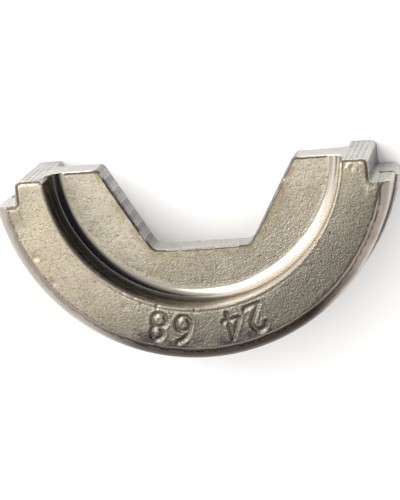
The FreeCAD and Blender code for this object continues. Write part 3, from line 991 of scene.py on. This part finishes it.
def skin_tree():
    """Grain on forged faces, furrows on planed ones and steps in the nest."""
    t = Tree("skin_marks", SKIN_INPUTS)
    place = t.add("ShaderNodeVectorMath", {0: t.add("GeometryNodeInputPosition").outputs[0],
                                           "Scale": 1 / MM}, operation="SCALE").outputs[0]
    grain = t.math("MULTIPLY", t.noise(place, t.given("Grain size"), 2.0), t.given("Grain height"))
    swell = t.math("MULTIPLY", t.noise(place, t.given("Swell size"), 1.0), t.given("Swell height"))
    forged = t.math("MULTIPLY", t.math("ADD", grain, swell), t.named("forged"))

    wave = t.math("COSINE", t.math("MULTIPLY", t.named("furrow_phase"), 2 * math.pi))
    trough = t.math("MAXIMUM", wave, 0.0)
    trough = t.math("MULTIPLY", trough, t.named("furrowed"))
    planed = t.math("MULTIPLY", t.math("MULTIPLY", trough, t.given("Furrow depth")), -1.0)

    step = t.math("DIVIDE", t.named("nest_run"), t.given("Step pitch"))
    tooth = t.math("SUBTRACT", t.math("FRACT", step), 0.5)
    nest = t.math("MULTIPLY", t.math("MULTIPLY", tooth, t.given("Step height")), t.named("nest"))

    total = t.math("ADD", t.math("ADD", forged, planed), nest)
    total = t.math("MULTIPLY", total, MM)
    normal = t.add("GeometryNodeInputNormal").outputs[0]
    offset = t.add("ShaderNodeVectorMath", {0: normal, "Scale": total}, operation="SCALE").outputs[0]
    kept = t.add("GeometryNodeStoreNamedAttribute", {"Geometry": t.given("Geometry"), "Name": "furrow",
                                                     "Value": trough}, data_type="FLOAT")
    moved = t.add("GeometryNodeSetPosition", {"Geometry": kept.outputs[0], "Offset": offset})
    smooth = t.add("GeometryNodeSetShadeSmooth", {0: moved.outputs[0]}, domain="FACE")
    angle = t.add("GeometryNodeInputMeshEdgeAngle").outputs["Unsigned Angle"]
    sharp = t.math("GREATER_THAN", angle, math.radians(70))
    crisp = t.add("GeometryNodeSetShadeSmooth", {0: smooth.outputs[0], "Selection": sharp,
                                                 "Shade Smooth": False}, domain="EDGE")
    result = t.add("GeometryNodeRealizeInstances", {0: crisp.outputs[0]}).outputs[0]
    for zone, material in finishes.items():
        here = t.add("FunctionNodeCompare", {2: t.named("zone", "INT"), 3: zone},
                     data_type="INT", operation="EQUAL").outputs[0]
        result = t.add("GeometryNodeSetMaterial", {0: result, "Selection": here,
                                                   "Material": material}).outputs[0]
    t.tree.links.new(result, t.end.inputs[0])
    return t


def apply_tree(piece, made, values):
    """Evaluate a piece with the tree, and keep the result as its plain mesh."""
    modifier = piece.modifiers.new("marks", "NODES")
    modifier.node_group = made.tree
    for label, value in values.items():
        modifier[made.keys[label]] = value
    evaluated = piece.evaluated_get(bpy.context.evaluated_depsgraph_get())
    mesh = bpy.data.meshes.new_from_object(evaluated)
    piece.modifiers.remove(modifier)
    piece.data = mesh


apply_tree(die, skin_tree(), SKIN_INPUTS)
print(len(die.data.polygons), "faces,", [material.name for material in die.data.materials])

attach(die, "root")
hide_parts(NODE)

# %% [markdown]
# ## Camera
# The die lies on its side face, and the camera looks down on it from far away with a long
# lens, leaning a little towards the right end and towards the open side of the nest.

# %% Camera
LEAN_RIGHT, LEAN_UP, ROLL = math.radians(7.785), math.radians(9.568), math.radians(4.957)
CAMERA_DISTANCE, TARGET_X, TARGET_Y = 321.3 * MM, 0.42 * MM, -8.68 * MM
target = Vector((TARGET_X, TARGET_Y, high.z))
toward = Vector((math.tan(LEAN_RIGHT), math.tan(LEAN_UP), 1)).normalized()


def look_from(toward, roll):
    """Axes of a camera that looks back along toward, rolled clockwise."""
    right = Vector((0, 1, 0)).cross(toward).normalized()
    up = toward.cross(right)
    turned = Matrix.Rotation(-roll, 3, toward)
    return Matrix((turned @ right, turned @ up, toward)).transposed().to_4x4()


camera_data = bpy.data.cameras.new("camera")
camera_data.lens = 270
camera_data.sensor_width = 36
camera_data.sensor_fit = "HORIZONTAL"
camera_data.clip_start = 0.01
camera = bpy.data.objects.new("camera", camera_data)
bpy.context.scene.collection.objects.link(camera)
camera.matrix_world = Matrix.Translation(target + toward * CAMERA_DISTANCE) @ look_from(toward, ROLL)
bpy.context.scene.camera = camera
print(f"camera {CAMERA_DISTANCE / MM:.0f} mm away, {camera_data.lens:.0f} mm lens")

# %% [markdown]
# ## Floor and light
# Bare metal shows what stands round it, so the room matters more than the lamps. One half
# of the room is bright, like a wall of windows, and the other half is dark. The line
# between them is soft, and it makes the bright and dark bands in the turned hollows.

# %% Floor
FLOOR_HALF = 600
floor_corners = FLOOR_HALF * np.array([[-1, -1, 0], [1, -1, 0], [1, 1, 0], [-1, 1, 0]])
floor = mesh_object("floor", floor_corners, [[0, 1, 2, 3]])
pale = Recipe("pale_floor")
speck = pale.noise(6.0, detail=2.0)
floor.data.materials.append(pale.finish(
    pale.colour(speck, (0.86, 0.86, 0.86), (0.88, 0.88, 0.88)), 0.0, 0.9, pale.bump(speck, 0.001)))


# %% Room
def direction(azimuth, elevation):
    """Unit vector from an azimuth anticlockwise from X and an elevation, in degrees."""
    turn, rise = math.radians(azimuth), math.radians(elevation)
    return (math.cos(turn) * math.cos(rise), math.sin(turn) * math.cos(rise), math.sin(rise))


class Room(Board):
    """World nodes: soft patches of light on a dark room."""

    def __init__(self):
        self.world = bpy.data.worlds.new("studio")
        self.world.use_nodes = True
        super().__init__(self.world.node_tree)
        self.look = self.node("ShaderNodeTexCoord").outputs["Generated"]

    def lobe(self, towards, inner, outer):
        """1 inside the inner angle, 0 outside the outer one."""
        dot = self.node("ShaderNodeVectorMath", operation="DOT_PRODUCT")
        self.feed(dot.inputs[0], self.look)
        self.feed(dot.inputs[1], towards)
        return self.smooth(dot.outputs["Value"], math.cos(math.radians(outer)),
                           math.cos(math.radians(inner)))


room = Room()
half = room.lobe(direction(188, 24), 75, 105)
window = room.lobe(direction(150, 3), 28, 58)
front = room.lobe(direction(-75, 15), 28, 68)
corner = room.lobe(direction(-28, 6), 14, 30)
light_side = room.colour(window, (0.72, 0.70, 0.665), (1.3, 1.3, 1.27))
light_side = room.colour(front, light_side, (0.12, 0.10, 0.09))
dark_side = room.colour(front, (0.014, 0.015, 0.026), (0.04, 0.033, 0.03))
dark_side = room.colour(corner, dark_side, (0.95, 0.87, 0.80))
seen = room.colour(half, dark_side, light_side)
background = room.nodes["Background"]
room.links.new(seen, background.inputs["Color"])
background.inputs["Strength"].default_value = 1.0
plain = room.node("ShaderNodeBackground")
plain.inputs["Color"].default_value = (0.9, 0.9, 0.9, 1)
straight = room.node("ShaderNodeLightPath").outputs["Is Camera Ray"]
either = room.node("ShaderNodeMixShader")
for socket, source in zip(either.inputs, (straight, background.outputs[0], plain.outputs[0])):
    room.feed(socket, source)
room.links.new(either.outputs[0], room.nodes["World Output"].inputs["Surface"])
bpy.context.scene.world = room.world
bpy.context.scene.view_settings.view_transform = "Standard"


def softbox(name, place, size, power):
    """A square area light that points at the die."""
    data = bpy.data.lights.new(name, "AREA")
    data.size = size * MM
    data.energy = power
    lamp = bpy.data.objects.new(name, data)
    bpy.context.scene.collection.objects.link(lamp)
    lamp.location = Vector(place) * MM
    lamp.rotation_euler = (lamp.location - target).to_track_quat("Z", "Y").to_euler()
    return lamp


softbox("window", (-100, 110, 130), 170, 0.30)
fill = softbox("fill", (40, -40, 420), 700, 2.9)
fill.visible_glossy = False
